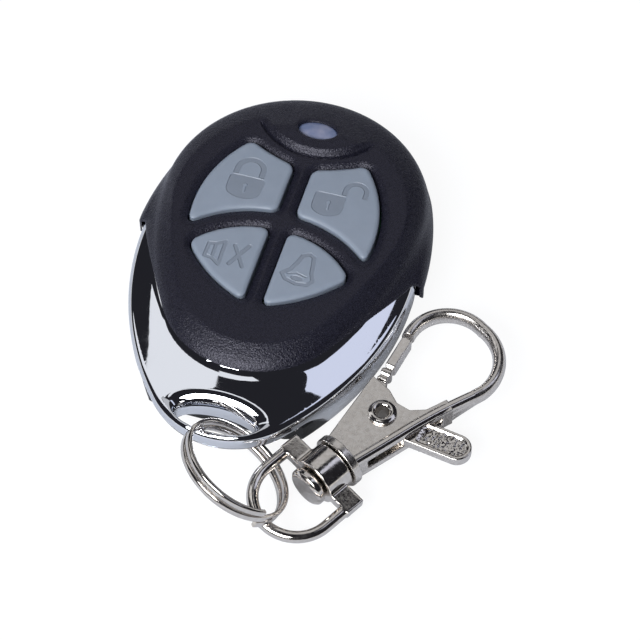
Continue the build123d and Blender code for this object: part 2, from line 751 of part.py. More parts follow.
def gate_lever():
    """Gate bar, hub on the rivet and thumb tab."""
    lever = disc(LEVER_HUB_R, PIVOT, -LEVER_HALF_T, LEVER_HALF_T)
    lever += round_plate([PIVOT, GATE_ROOT], GATE_HALF_W, LEVER_HALF_T)
    lever += round_plate([PIVOT, TAB_END], TAB_HALF_W, LEVER_HALF_T)
    run = Vector(GATE_TIP[0] - GATE_ROOT[0], GATE_TIP[1] - GATE_ROOT[1])
    bar = Box(run.length, 2 * GATE_HALF_W, 2 * GATE_HALF_T)
    middle = ((GATE_ROOT[0] + GATE_TIP[0]) / 2, (GATE_ROOT[1] + GATE_TIP[1]) / 2)
    lever += Pos(*middle, 0) * Rot(0, 0, degrees(atan2(run.Y, run.X))) * bar
    recess_top = -LEVER_HALF_T + 3 * SPRING_WIRE_R
    lever -= disc(SPRING_COIL_R + 2 * SPRING_WIRE_R, PIVOT, -FAR, recess_top)
    groove = Box(2 * SPRING_LEG, 4 * SPRING_WIRE_R, 2)
    lever -= Pos(PIVOT[0] - SPRING_LEG, PIVOT[1] - SPRING_COIL_R, recess_top - 1) * groove
    return lever - disc(RIVET_R + GATE_FIT, PIVOT, -FAR, FAR)


def gate_spring():
    """Wire spring round the rivet, in the lever's recess, with its leg towards the stem."""
    z = -LEVER_HALF_T + 1.5 * SPRING_WIRE_R
    x, y = PIVOT
    r = SPRING_COIL_R
    turn = Edge.make_three_point_arc((x, y + r, z), (x + r, y, z), (x, y - r, z))
    leg = Edge.make_line((x, y - r, z), (x - SPRING_LEG, y - r, z))
    path = Wire([turn, leg])
    start = Plane(origin=path.position_at(0), z_dir=path.tangent_at(0))
    return sweep(start * Circle(SPRING_WIRE_R), path=path)


def gate_rivet():
    """Hollow rivet through the plate and the lever."""
    end = PLATE_HALF_T + RIVET_HEAD_T
    rivet = disc(RIVET_R, PIVOT, -end, end)
    rivet += disc(RIVET_HEAD_R, PIVOT, PLATE_HALF_T + 0.01, end)
    rivet += disc(RIVET_HEAD_R, PIVOT, -end, -PLATE_HALF_T - 0.01)
    return rivet - disc(RIVET_BORE_R, PIVOT, -FAR, FAR)


def hook_place(roll=0.0):
    """Where the hook's stem axis lies beside the fob."""
    return Location(HOOK_AT) * Rot(0, 0, HOOK_TURN) * Rot(0, HOOK_TILT, 0) * Rot(roll, 0, 0)


def all_nodes():
    nodes = {
        "top_shell": top_shell(),
        "chrome_bezel": chrome_bezel(),
        "bottom_shell": bottom_shell(),
        "keypad_mat": keypad_mat(),
        "led_lens": led_lens(),
        "indicator_led": indicator_led(),
        "circuit_board": circuit_board(),
        "controller_chip": controller_chip(),
        "rf_resonator": rf_resonator(),
        "tuning_capacitor": tuning_capacitor(),
        "antenna_loop": antenna_loop(),
        "chip_parts": chip_parts(),
        "coin_cell": coin_cell(),
        "battery_plus_clip": battery_plus_clip(),
        "battery_minus_contact": battery_minus_contact(),
        "case_screws": case_screws(),
        "split_ring": split_ring(),
        "swivel_eye": hook_place(EYE_ROLL) * swivel_eye(),
    }
    nodes.update(keys())
    nodes.update(switches())
    for make in (hook_body, swivel_stem, gate_lever, gate_spring, gate_rivet):
        nodes[make.__name__] = hook_place() * make()
    return nodes


def main():
    os.makedirs("parts", exist_ok=True)
    for name, shape in all_nodes().items():
        export_step(shape, os.path.join("parts", name + ".step"))
    print("split ring: least gap between turns", round(ring_gap(), 3), "mm")


main()
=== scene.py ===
from math import cos, pi, radians, sin, tan

import bpy
import mathutils
import numpy as np
from mathutils import Matrix, Vector
from mathutils.geometry import delaunay_2d_cdt

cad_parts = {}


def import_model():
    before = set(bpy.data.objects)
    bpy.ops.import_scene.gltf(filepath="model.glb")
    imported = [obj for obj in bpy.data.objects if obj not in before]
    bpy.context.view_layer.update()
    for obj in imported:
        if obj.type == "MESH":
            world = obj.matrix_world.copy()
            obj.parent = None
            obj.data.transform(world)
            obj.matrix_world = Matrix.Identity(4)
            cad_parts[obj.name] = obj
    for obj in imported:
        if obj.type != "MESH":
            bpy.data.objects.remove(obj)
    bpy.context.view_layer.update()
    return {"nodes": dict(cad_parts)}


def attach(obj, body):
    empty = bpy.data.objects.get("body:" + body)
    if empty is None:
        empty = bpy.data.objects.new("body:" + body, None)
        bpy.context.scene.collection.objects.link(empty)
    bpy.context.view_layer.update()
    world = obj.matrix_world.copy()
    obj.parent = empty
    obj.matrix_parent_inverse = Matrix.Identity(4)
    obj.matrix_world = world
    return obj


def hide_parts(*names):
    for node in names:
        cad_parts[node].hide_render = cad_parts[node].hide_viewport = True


# Key fob with a split ring and a swivel snap hook. Shapes are worked out in millimetres.
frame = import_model()
MM = 0.001

# Outlines of the case: top radius and place, flank radius, tail radius and place
CASE = (19.0, 8.6, 42.0, 13.0, -18.1)
TONGUE = (19.9, 6.6, 120.0, 13.5, -6.9)
SLOPE = (18.0, 8.4, 44.0, 13.3, -7.0)
FIELD = (15.9, 6.1, 60.0, 11.5, -5.5)
NOTCH_Y = 0.9

# Heights above the back
PART_Z = 3.9
SHOULDER_Z = 7.5
SLOPE_Z = 9.4
FIELD_Z = 11.2
LOBE_Z = 12.0
KEY_TOP_Z = 11.4
TAIL_UNDER_Z = 4.7
TAIL_CUT_Y = -23.3

# How far the chrome lies below the cover, and inside its outline
LIP = 0.25
CHROME_INSET = 1.0

# Slot in the tail
SLOT_Y = -27.15
SLOT_HALF = (5.4, 1.95)

# Indicator window, and the raised lobe round it: middle and radius of its lower edge, width of
# its step, and the groove below it
WINDOW_Y = 19.5
WINDOW_HALF = (2.5, 1.4)
LENS_Z = 11.0
LENS_CROWN = 0.35
LOBE_Y = 24.8
LOBE_R = 8.7
LOBE_STEP = 1.1
GROOVE_R = 9.85
GROOVE_WIDE = 0.17
GROOVE_DEEP = 0.42

# Lips of the black cover: width and drop. A pocket's lip drops more towards the top end.
TONGUE_LIP = (1.6, 0.42)
WINDOW_LIP = (0.7, 0.35)
POCKET_LIP_WIDE = 1.2
POCKET_LIP_DROP = 0.3
POCKET_LIP_MORE = 0.45
NOTCH_R = 0.7

# Walls: depth under the tongue's lip and at the notch corners, height of the foot of the others
TONGUE_WALL = 0.45
CORNER_WALL = 2.5
POCKET_WALL_Z = 9.6
WINDOW_WALL_Z = 10.8
LENS_WALL_Z = 10.6
KEY_WALL_Z = 9.5

# Chrome: rounding of its outer edge and of the slot, foot of its wall at the flanks, and where
# that foot rises to the tail's underside
CHROME_EDGE_R = 0.85
SLOT_EDGE_R = 0.42
SLOT_EDGE_MORE = 1.5
CHROME_FOOT_Z = 1.35
CHROME_RISE_Y = -19.3
CHROME_RISE_LONG = 4.0

# Corners of the right-hand keys, each with the middle point of the edge after it
UPPER_KEY = [(1.3, 3.7), (1.3, 12.0), (8.2, 14.7), (12.3, -1.2)]
UPPER_MIDDLES = [None, (4.6, 12.95), (12.2, 7.0), (7.2, 2.3)]
LOWER_KEY = [(1.3, 0.6), (11.1, -4.4), (1.3, -11.5)]
LOWER_MIDDLES = [(6.6, -0.75), (7.1, -8.4), None]

# Keys: corners, gap to the pocket, shift to the top end, lip (width and drop), crown and signs
KEY_CORNER_R = 1.1
KEY_GAP = 0.25
KEY_SHIFT = 0.78
KEY_LIP = (0.7, 0.4)
KEY_CROWN = 0.24
KEY_CROWN_SPREAD = 40
KEY_CROWNS = {"lock": (-6.5, 7.5), "unlock": (6.5, 7.5), "mute": (-4.8, -4.0), "chime": (4.8, -4.0)}
SIGN_SHIFT = 0.45
SIGN_DEEP = 0.1


# Plane fields: every shape below is a signed distance, positive inside

def inset_egg(egg, inset):
    top_r, top_y, flank_r, tail_r, tail_y = egg
    return (top_r - inset, top_y, flank_r - inset, tail_r - inset, tail_y)


def egg_distance(egg, x, y):
    """Distance inside an outline of four tangent arcs; its five numbers may be arrays."""
    top_r, top_y, flank_r, tail_r, tail_y = egg
    to_top = flank_r - top_r
    to_tail = flank_r - tail_r
    span = top_y - tail_y
    below = (to_top**2 - to_tail**2 + span**2) / (2 * span)
    flank_x = -np.sqrt(to_top**2 - below**2)
    flank_y = top_y - below
    side = np.abs(x)
    angle = np.arctan2(y - flank_y, side - flank_x)
    top_angle = np.arctan2(below, -flank_x)
    tail_angle = np.arctan2(tail_y - flank_y, -flank_x)
    flank = flank_r - np.hypot(side - flank_x, y - flank_y)
    top = top_r - np.hypot(x, y - top_y)
    tail = tail_r - np.hypot(x, y - tail_y)
    return np.where(angle > top_angle, top, np.where(angle < tail_angle, tail, flank))


def oval_distance(x, y, centre, half):
    u = (x - centre[0]) / half[0]
    v = (y - centre[1]) / half[1]
    reach = np.sqrt(u * u + v * v) + 1e-9
    slope = np.sqrt((u / half[0]) ** 2 + (v / half[1]) ** 2) + 1e-9
    return (1 - reach) * reach / slope


def smooth_step(x):
    x = np.clip(x, 0, 1)
    return x * x * (3 - 2 * x)


def hump(x, at, wide):
    """Bell curve of height 1 round a place."""
    return np.exp(-(((x - at) / wide) ** 2))


def round_all(distances, r):
    """Inside of all the given fields at once, with corners of radius r."""
    short = sum(np.maximum(r - d, 0) ** 2 for d in distances)
    least = np.minimum.reduce(distances)
    return np.where(least < r, r - np.sqrt(short), least)


def round_any(distances, r):
    """Inside of any of the given fields, with inner corners of radius r."""
    return -round_all([-d for d in distances], r)


def edge_distance(start, middle, end, inner):
    """Field of one straight or bowed edge, positive on the side of the inner point."""
    if middle is None:
        way = np.subtract(end, start)
        across = np.array([-way[1], way[0]]) / np.hypot(*way)
        side = np.sign(across @ np.subtract(inner, start))
        return lambda x, y: side * (across[0] * (x - start[0]) + across[1] * (y - start[1]))
    a = 2 * np.array([np.subtract(middle, start), np.subtract(end, start)])
    b = [np.dot(middle, middle) - np.dot(start, start), np.dot(end, end) - np.dot(start, start)]
    centre = np.linalg.solve(a, b)
    r = np.hypot(*np.subtract(start, centre))
    side = np.sign(r - np.hypot(*np.subtract(inner, centre)))
    return lambda x, y: side * (r - np.hypot(x - centre[0], y - centre[1]))


def key_field(corners, middles, mirrored):
    inner = np.mean(corners, axis=0)
    ends = corners[1:] + corners[:1]
    edges = [edge_distance(a, m, b, inner) for a, m, b in zip(corners, middles, ends)]
    side = -1 if mirrored else 1
    return lambda x, y: round_all([edge(side * x, y - KEY_SHIFT) for edge in edges], KEY_CORNER_R)


KEYS = {
    "lock": key_field(UPPER_KEY, UPPER_MIDDLES, True),
    "unlock": key_field(UPPER_KEY, UPPER_MIDDLES, False),
    "mute": key_field(LOWER_KEY, LOWER_MIDDLES, True),
    "chime": key_field(LOWER_KEY, LOWER_MIDDLES, False),
}


def falling_edge(distance, r):
    """How far a rounded edge of radius r has dropped at a distance inside the shape."""
    inside = np.clip(distance, 0, r)
    drop = r - np.sqrt(r * r - (r - inside) ** 2)
    return drop + 12 * np.maximum(-distance, 0)


def softened(distance, wide, drop):
    """How far a lip has dropped at a distance inside the shape, over its given width."""
    share = 1 - np.clip(distance / wide, 0, 1)
    return drop * (1 - np.sqrt(1 - share * share)) + 12 * np.maximum(-distance, 0)


def chamfered(distance, wide, drop):
    """The same for a lip that slopes almost evenly."""
    share = 1 - np.clip(distance / wide, 0, 1)
    return drop * share**1.5 + 12 * np.maximum(-distance, 0)


# Surfaces of the case

DOME_LEVELS = [(inset_egg(CASE, 0.4), SHOULDER_Z), (SLOPE, SLOPE_Z), (FIELD, FIELD_Z)]


def through(u, a, b, c):
    """Smooth line through a, b and c at 0, 1 and 2, straight past both ends."""
    first, second = b - a, c - b
    middle = 2 * first * second / (first + second) if first * second > 0 else 0.0
    start = (3 * first - middle) / 2
    end = (3 * second - middle) / 2

    def part(v, p, q, m, n):
        places = p * (1 + 2 * v) * (1 - v) ** 2 + q * v * v * (3 - 2 * v)
        return places + m * v * (1 - v) ** 2 - n * v * v * (1 - v)

    inner = np.where(u < 1, part(u, a, b, start, middle), part(u - 1, b, c, middle, end))
    return np.where(u < 0, a + u * start, np.where(u > 2, c + (u - 2) * end, inner))


def dome_height(x, y, levels):
    """Height of the dome drawn through three outlines, going on past the last one."""
    eggs = [egg for egg, _ in levels]

    def blended(u):
        return [through(u, *sizes) for sizes in zip(*eggs)]

    low = np.full(np.shape(x), -1.0)
    high = np.full(np.shape(x), 2.6)
    for _ in range(34):
        middle = (low + high) / 2
        inside = egg_distance(blended(middle), x, y) > 0
        low = np.where(inside, middle, low)
        high = np.where(inside, high, middle)
    return through((low + high) / 2, *[z for _, z in levels])


def soft_least(a, b, k):
    return -k * np.logaddexp(-a / k, -b / k)


def lobe_share(x, y):
    """1 on the indicator's lobe, falling to 0 across its lower step."""
    r = np.hypot(x, y - LOBE_Y)
    return 1 - smooth_step((r - LOBE_R) / LOBE_STEP)


def case_height(x, y):
    """Dome, flat field round the keys and the raised lobe, without any edges."""
    dome = dome_height(x, y, DOME_LEVELS)
    field = soft_least(dome, FIELD_Z, 0.07)
    lobe = soft_least(dome, LOBE_Z, 0.07)
    step = lobe_share(x, y)
    groove = GROOVE_DEEP * hump(np.hypot(x, y - LOBE_Y), GROOVE_R, GROOVE_WIDE)
    groove = groove * smooth_step((lobe - field) / 0.5)
    return field + (lobe - field) * step - groove


def cover_region(x, y):
    tongue = egg_distance(TONGUE, x, y)
    upper = round_any([tongue, y - NOTCH_Y], NOTCH_R)
    return round_all([egg_distance(CASE, x, y), upper], 0.5)


def pockets(x, y):
    """Distance into the nearest key pocket."""
    return np.maximum.reduce([key(x, y) + KEY_GAP for key in KEYS.values()])


def window_distance(x, y):
    return oval_distance(x, y, (0, WINDOW_Y), (WINDOW_HALF[0] + 0.3, WINDOW_HALF[1] + 0.3))


def cover_open(x, y):
    """The cover without its key pockets and its window."""
    return np.minimum.reduce([cover_region(x, y), -pockets(x, y), -window_distance(x, y)])


def cover_height(x, y):
    z = case_height(x, y)
    case = egg_distance(CASE, x, y)
    upper = round_any([egg_distance(TONGUE, x, y), y - NOTCH_Y], NOTCH_R)
    z = z - falling_edge(case, 1.0) - softened(upper, *TONGUE_LIP)
    h = 0.02
    facing = (pockets(x, y - h) - pockets(x, y + h)) / (2 * h)
    drop = POCKET_LIP_DROP + POCKET_LIP_MORE * smooth_step(0.5 + 0.5 * facing)
    z = z - chamfered(-pockets(x, y), POCKET_LIP_WIDE, drop)
    return z - softened(-window_distance(x, y), *WINDOW_LIP)


def slot_distance(x, y):
    return oval_distance(x, y, (0, SLOT_Y), SLOT_HALF)


def chrome_edge(x, y):
    return egg_distance(inset_egg(CASE, CHROME_INSET), x, y)


def chrome_region(x, y):
    tongue = egg_distance(inset_egg(TONGUE, 0.35), x, y)
    notch = NOTCH_Y - 0.05 - y
    return np.minimum.reduce([chrome_edge(x, y), notch, -tongue, -slot_distance(x, y)])


CHROME_LEVELS = [(inset_egg(CASE, 1.5), SHOULDER_Z), (SLOPE, SLOPE_Z - LIP), (FIELD, FIELD_Z - LIP)]


def chrome_height(x, y):
    z = dome_height(x, y, CHROME_LEVELS)
    upper = smooth_step((y - SLOT_Y + 0.9) / 2.2)
    slot_r = SLOT_EDGE_R + SLOT_EDGE_MORE * upper
    z = z - falling_edge(chrome_edge(x, y), CHROME_EDGE_R)
    return z - falling_edge(-slot_distance(x, y), slot_r)


# Meshes

def contour(field, low, high, step):
    """Lines where a plane field is zero, each a list of points and whether it closes."""
    xs = np.arange(low[0], high[0] + step, step)
    ys = np.arange(low[1], high[1] + step, step)
    gx, gy = np.meshgrid(xs, ys, indexing="ij")
    v = field(gx, gy)
    inside = v > 0
    mixed = inside[:-1, :-1].astype(int) + inside[1:, :-1] + inside[:-1, 1:] + inside[1:, 1:]
    links = {}
    places = {}

    def crossing(a, b):
        a, b = sorted((a, b))
        share = v[a] / (v[a] - v[b])
        x = xs[a[0]] + share * (xs[b[0]] - xs[a[0]])
        y = ys[a[1]] + share * (ys[b[1]] - ys[a[1]])
        places[(a, b)] = (x, y)
        return (a, b)

    for i, j in zip(*np.nonzero((mixed > 0) & (mixed < 4))):
        corners = [(i, j), (i + 1, j), (i + 1, j + 1), (i, j + 1)]
        sides = zip(corners, corners[1:] + corners[:1])
        cuts = [crossing(a, b) for a, b in sides if inside[a] != inside[b]]
        for a, b in zip(cuts[::2], cuts[1::2]):
            links.setdefault(a, []).append(b)
            links.setdefault(b, []).append(a)
    lines = []
    ends = [k for k, n in links.items() if len(n) == 1]
    for start in ends + list(links):
        if start not in links:
            continue
        line = [start]
        while True:
            onward = [k for k in links.pop(line[-1]) if k in links]
            if not onward:
                break
            line.append(onward[0])
        closed = len(line) > 2 and start not in ends
        points = np.array([places[k] for k in line])
        lines.append((settle(field, thin(points, 0.45 * step)), closed))
    return lines


def thin(points, gap):
    kept = [points[0]]
    for p in points[1:]:
        if np.hypot(*(p - kept[-1])) > gap:
            kept.append(p)
    if len(kept) > 3 and np.hypot(*(kept[0] - kept[-1])) < gap:
        kept.pop()
    return np.array(kept)


def settle(field, points, rounds=4):
    """Moves points onto the zero line of their field."""
    h = 1e-4
    for _ in range(rounds):
        x, y = points.T
        here = field(x, y)
        dx = field(x + h, y) - field(x - h, y)
        dy = field(x, y + h) - field(x, y - h)
        slope = np.stack([dx, dy], axis=1) / (2 * h)
        size = np.maximum((slope**2).sum(axis=1), 1e-6)
        move = -(here / size)[:, None] * slope
        points = points + np.clip(move, -0.2, 0.2)
    return points


def triangles(region, low, high, step, spots, inner_lines=()):
    """Plane mesh of a region, with the spots as inner points."""
    points = []
    edges = []
    for line, closed in contour(region, low, high, step) + list(inner_lines):
        first = len(points)
        points += [Vector(p) for p in line]
        edges += [(first + i, first + i + 1) for i in range(len(line) - 1)]
        if closed:
            edges.append((first + len(line) - 1, first))
    points += [Vector(p) for p in spots]
    flat, _, faces, *_ = delaunay_2d_cdt(points, edges, [], 0, 1e-5)
    flat = np.array([tuple(p) for p in flat])
    faces = np.array(faces)
    faces = faces[region(*flat[faces].mean(axis=1).T) > 0]
    used, places = np.unique(faces, return_inverse=True)
    return flat[used], places.reshape(-1, 3)


def fill(region, low, high, gap, margin):
    """Points in a triangular pattern over a region."""
    xs = np.arange(low[0], high[0], gap)
    ys = np.arange(low[1], high[1], gap * 0.866)
    gx, gy = np.meshgrid(xs, ys, indexing="ij")
    gx = gx + (np.arange(len(ys)) % 2) * gap / 2
    x, y = gx.ravel(), gy.ravel()
    keep = region(x, y) > margin
    return np.stack([x[keep], y[keep]], axis=1)


def along(field, low, high, step, levels):
    """Points on the lines at the given distances inside a field."""
    rows = []
    for level in levels:
        for line, _ in contour(lambda x, y: field(x, y) - level, low, high, step):
            rows.append(line)
    return np.concatenate(rows) if rows else np.zeros((0, 2))


def surface_normals(height, xy):
    h = 0.004
    x, y = xy.T
    dx = (height(x + h, y) - height(x - h, y)) / (2 * h)
    dy = (height(x, y + h) - height(x, y - h)) / (2 * h)
    n = np.stack([-dx, -dy, np.ones(len(x))], axis=1)
    return n / np.linalg.norm(n, axis=1)[:, None]


class Shape:
    """Growing mesh in millimetres with a normal at each point."""

    def __init__(self):
        self.points = np.zeros((0, 3))
        self.normals = np.zeros((0, 3))
        self.faces = []
        self.slots = []

    def add(self, points, normals, faces, slot=0):
        first = len(self.points)
        self.points = np.concatenate([self.points, points])
        self.normals = np.concatenate([self.normals, normals])
        self.faces += [tuple(int(i) + first for i in face) for face in faces]
        self.slots += list(np.broadcast_to(slot, len(faces)))
        return first

    def add_sheet(self, flat, faces, height, slot=0):
        points = np.column_stack([flat, height(*flat.T)])
        normals = surface_normals(height, flat)
        self.add(points, normals, faces, slot)
        return points, normals

    def add_wall(self, flat, faces, points, normals, lower, choose=None):
        """Wall down from the open border of a sheet, with its sideways normals."""
        edges = dict.fromkeys(edge for a, b, c in faces for edge in ((a, b), (b, c), (c, a)))
        border = [(a, b) for a, b in edges if (b, a) not in edges]
        if choose is not None:
            border = [(a, b) for a, b in border if choose(*((flat[a] + flat[b]) / 2))]
        used = sorted({i for edge in border for i in edge})
        place = {v: i for i, v in enumerate(used)}
        top = points[used]
        level = normals[used] * [1, 1, 0]
        level /= np.maximum(np.linalg.norm(level, axis=1), 1e-9)[:, None]
        rows = [(top, 0)] + lower(top, level)
        n = len(used)
        quads = []
        for k in range(len(rows) - 1):
            for a, b in border:
                i, j = place[a], place[b]
                quads.append((k * n + j, k * n + i, (k + 1) * n + i, (k + 1) * n + j))
        facing = [level * (1 - abs(up)) + [0, 0, up] for _, up in rows]
        self.add(np.concatenate([row for row, _ in rows]), np.concatenate(facing), quads)

    def piece(self, name, body, materials, replaces=()):
        mesh = bpy.data.meshes.new(name)
        mesh.from_pydata((self.points * MM).tolist(), [], self.faces)
        for material in materials:
            mesh.materials.append(material)
        mesh.polygons.foreach_set("material_index", np.array(self.slots, np.int32))
        mesh.polygons.foreach_set("use_smooth", np.ones(len(self.faces), bool))
        mesh.normals_split_custom_set_from_vertices(self.normals.tolist())
        return placed(mesh, name, body, replaces)


def placed(mesh, name, body, replaces=()):
    obj = bpy.data.objects.new(name, mesh)
    bpy.context.scene.collection.objects.link(obj)
    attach(obj, body)
    if replaces:
        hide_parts(*replaces)
    return obj


# Materials

def material(name, color, roughness, metallic=0.0, **sockets):
    made = bpy.data.materials.new(name)
    made.use_nodes = True
    shader = made.node_tree.nodes["Principled BSDF"]
    shader.inputs["Base Color"].default_value = (*color, 1)
    shader.inputs["Roughness"].default_value = roughness
    shader.inputs["Metallic"].default_value = metallic
    for socket, value in sockets.items():
        shader.inputs[socket.replace("_", " ")].default_value = value
    return made


def noise(made, size, detail):
    """Noise with features of a size in millimetres, laid out in the object's own space."""
    nodes, links = made.node_tree.nodes, made.node_tree.links
    coords = nodes.new("ShaderNodeTexCoord")
    texture = nodes.new("ShaderNodeTexNoise")
    texture.inputs["Scale"].default_value = 1 / (size * MM)
    texture.inputs["Detail"].default_value = detail
    links.new(coords.outputs["Object"], texture.inputs["Vector"])
    return texture.outputs[0]


def ramp(made, source, stops):
    """Colours or greys spread over a source value."""
    node = made.node_tree.nodes.new("ShaderNodeValToRGB")
    while len(node.color_ramp.elements) < len(stops):
        node.color_ramp.elements.new(0.5)
    for element, (place, value) in zip(node.color_ramp.elements, stops):
        element.position = place
        element.color = (*value, 1) if isinstance(value, tuple) else (value, value, value, 1)
    made.node_tree.links.new(source, node.inputs[0])
    return node.outputs[0]


def set_noise(made, socket, size, detail, low, high):
    """Socket that follows noise: place and value where it starts to change, and where it ends."""
    source = ramp(made, noise(made, size, detail), [low, high])
    made.node_tree.links.new(source, made.node_tree.nodes["Principled BSDF"].inputs[socket])


def bump(made, size, detail, height):
    """Grain of a size and height in millimetres."""
    nodes, links = made.node_tree.nodes, made.node_tree.links
    node = nodes.new("ShaderNodeBump")
    node.inputs["Distance"].default_value = height * MM
    node.inputs["Strength"].default_value = 1.0
    links.new(noise(made, size, detail), node.inputs["Height"])
    links.new(node.outputs[0], nodes["Principled BSDF"].inputs["Normal"])


def soft_touch():
    made = material("cover_black", (0.009, 0.009, 0.014), 0.5, Specular_IOR_Level=0.42,
                    Specular_Tint=(0.88, 0.86, 1.0, 1), Sheen_Weight=0.03,
                    Sheen_Tint=(0.5, 0.5, 1.0, 1), Sheen_Roughness=0.4)
    dark, light = (0.005, 0.005, 0.009), (0.011, 0.011, 0.019)
    set_noise(made, "Base Color", 0.35, 4, (0.3, dark), (0.7, light))
    set_noise(made, "Roughness", 0.16, 3, (0.35, 0.16), (0.65, 0.42))
    bump(made, 0.24, 4, 0.1)
    return made


def satin_black():
    made = material("case_black", (0.02, 0.02, 0.022), 0.42)
    set_noise(made, "Roughness", 0.5, 4, (0.3, 0.34), (0.7, 0.5))
    bump(made, 0.16, 3, 0.008)
    return made


def chrome():
    made = material("bezel_chrome", (0.80, 0.82, 0.87), 0.03, 1.0)
    set_noise(made, "Roughness", 2.5, 4, (0.35, 0.02), (0.75, 0.055))
    bump(made, 3.0, 2, 0.004)
    return made


def nickel(name, size=0.25, height=0.004, rough=(0.08, 0.2)):
    made = material(name, (0.72, 0.68, 0.64), 0.12, 1.0)
    set_noise(made, "Base Color", 0.5, 5, (0.3, (0.68, 0.635, 0.59)), (0.7, (0.77, 0.735, 0.70)))
    set_noise(made, "Roughness", 0.6, 5, (0.35, rough[0]), (0.7, rough[1]))
    bump(made, size, 4, height)
    return made


def silicone(name, color):
    made = material(name, color, 0.42, Specular_IOR_Level=0.45, Coat_Weight=0.15,
                    Coat_Roughness=0.35, Subsurface_Weight=0.08, Subsurface_Scale=0.001,
                    Subsurface_Radius=(0.6, 0.8, 1.0))
    darker = tuple(0.94 * c for c in color)
    set_noise(made, "Base Color", 1.8, 4, (0.3, darker), (0.7, color))
    set_noise(made, "Roughness", 0.3, 3, (0.3, 0.38), (0.7, 0.5))
    bump(made, 0.12, 3, 0.003)
    return made


def lens_plastic():
    made = material("lens_blue", (0.13, 0.16, 0.26), 0.22, Coat_Weight=0.6, Coat_Roughness=0.08)
    set_noise(made, "Base Color", 1.6, 2, (0.35, (0.09, 0.12, 0.22)), (0.7, (0.19, 0.20, 0.29)))
    return made


COVER = soft_touch()
CASE_BLACK = satin_black()
CHROME = chrome()
NICKEL = nickel("hook_nickel")
CAST = nickel("hook_cast", 0.22, 0.006, (0.16, 0.32))
KEY = silicone("key_silicone", (0.205, 0.24, 0.30))
KEY_SIGN = silicone("key_sign", (0.165, 0.192, 0.24))
LENS = lens_plastic()


def plastic(name, dark, light, rough):
    made = material(name, light, rough)
    set_noise(made, "Base Color", 1.2, 4, (0.3, dark), (0.7, light))
    set_noise(made, "Roughness", 0.5, 3, (0.35, rough - 0.06), (0.7, rough + 0.08))
    bump(made, 0.4, 3, 0.006)
    return made


def metal(name, dark, light, rough):
    made = material(name, light, rough, 1.0)
    set_noise(made, "Base Color", 0.8, 4, (0.3, dark), (0.7, light))
    set_noise(made, "Roughness", 0.4, 4, (0.35, rough - 0.08), (0.7, rough + 0.1))
    bump(made, 0.3, 3, 0.004)
    return made


CHIP = plastic("chip_black", (0.018, 0.018, 0.019), (0.035, 0.034, 0.033), 0.6)
SHELL = plastic("switch_shell", (0.03, 0.03, 0.032), (0.06, 0.06, 0.062), 0.45)
RESIN = plastic("plunger_resin", (0.60, 0.57, 0.48), (0.74, 0.72, 0.64), 0.4)
CONTACT = metal("contact_nickel", (0.56, 0.54, 0.49), (0.70, 0.68, 0.64), 0.3)
CELL = metal("cell_steel", (0.55, 0.55, 0.57), (0.69, 0.69, 0.71), 0.26)
INNER_MATERIALS = {
    "bottom_shell": CASE_BLACK,
    "keypad_mat": silicone("mat_silicone", (0.23, 0.275, 0.33)),
    "circuit_board": plastic("board_green", (0.012, 0.10, 0.045), (0.03, 0.19, 0.085), 0.35),
    "controller_chip": CHIP,
    "chip_parts": CHIP,
    "tuning_capacitor": RESIN,
    "rf_resonator": CELL,
    "coin_cell": CELL,
    "antenna_loop": CONTACT,
    "battery_plus_clip": CONTACT,
    "battery_minus_contact": CONTACT,
    "indicator_led": plastic("led_clear", (0.62, 0.66, 0.74), (0.78, 0.81, 0.87), 0.2),
    "case_screws": metal("screw_steel", (0.30, 0.30, 0.31), (0.46, 0.46, 0.47), 0.34),
    "gate_spring": metal("spring_steel", (0.48, 0.48, 0.48), (0.62, 0.62, 0.62), 0.25),
}
for key_name in KEYS:
    INNER_MATERIALS[key_name + "_switch"] = SHELL
    INNER_MATERIALS[key_name + "_plunger"] = RESIN


# Fob

def cover():
    """Black cover down to the parting line, its side drawn in below."""
    low, high = (-21, -24), (21, 28.2)
    flat, faces = triangles(cover_open, low, high, 0.3, cover_spots(low, high))
    shape = Shape()
    points, normals = shape.add_sheet(flat, faces, cover_height)

    def side(top, level):
        rows = []
        for share in (0.15, 0.3, 0.45, 0.6, 0.75, 0.9, 1.0):
            drop = (top[:, 2] - PART_Z) * share
            row = top - level * 0.5 * share**2
            row[:, 2] = top[:, 2] - drop
            rows.append((row, -0.35 * share))
        rows.append((rows[-1][0] - level * 1.3, -1))
        return rows

    lip_y, corner_y = NOTCH_Y + 0.05, NOTCH_Y + 0.6
    walls = [
        (side, lambda x, y: abs(egg_distance(CASE, x, y)) < 0.05 and y > corner_y),
        (straight(TONGUE_WALL), lambda x, y: y < lip_y),
        (straight(CORNER_WALL), lambda x, y: lip_y <= y <= corner_y and abs(x) > 17),
        (down_to(POCKET_WALL_Z), lambda x, y: abs(pockets(x, y)) < 0.05),
        (down_to(WINDOW_WALL_Z), lambda x, y: abs(x) < 3.2 and abs(y - WINDOW_Y) < 2),
    ]
    for lower, choose in walls:
        shape.add_wall(flat, faces, points, normals, lower, choose)
    return shape.piece("top_cover", "fob", [COVER], ["top_shell"])


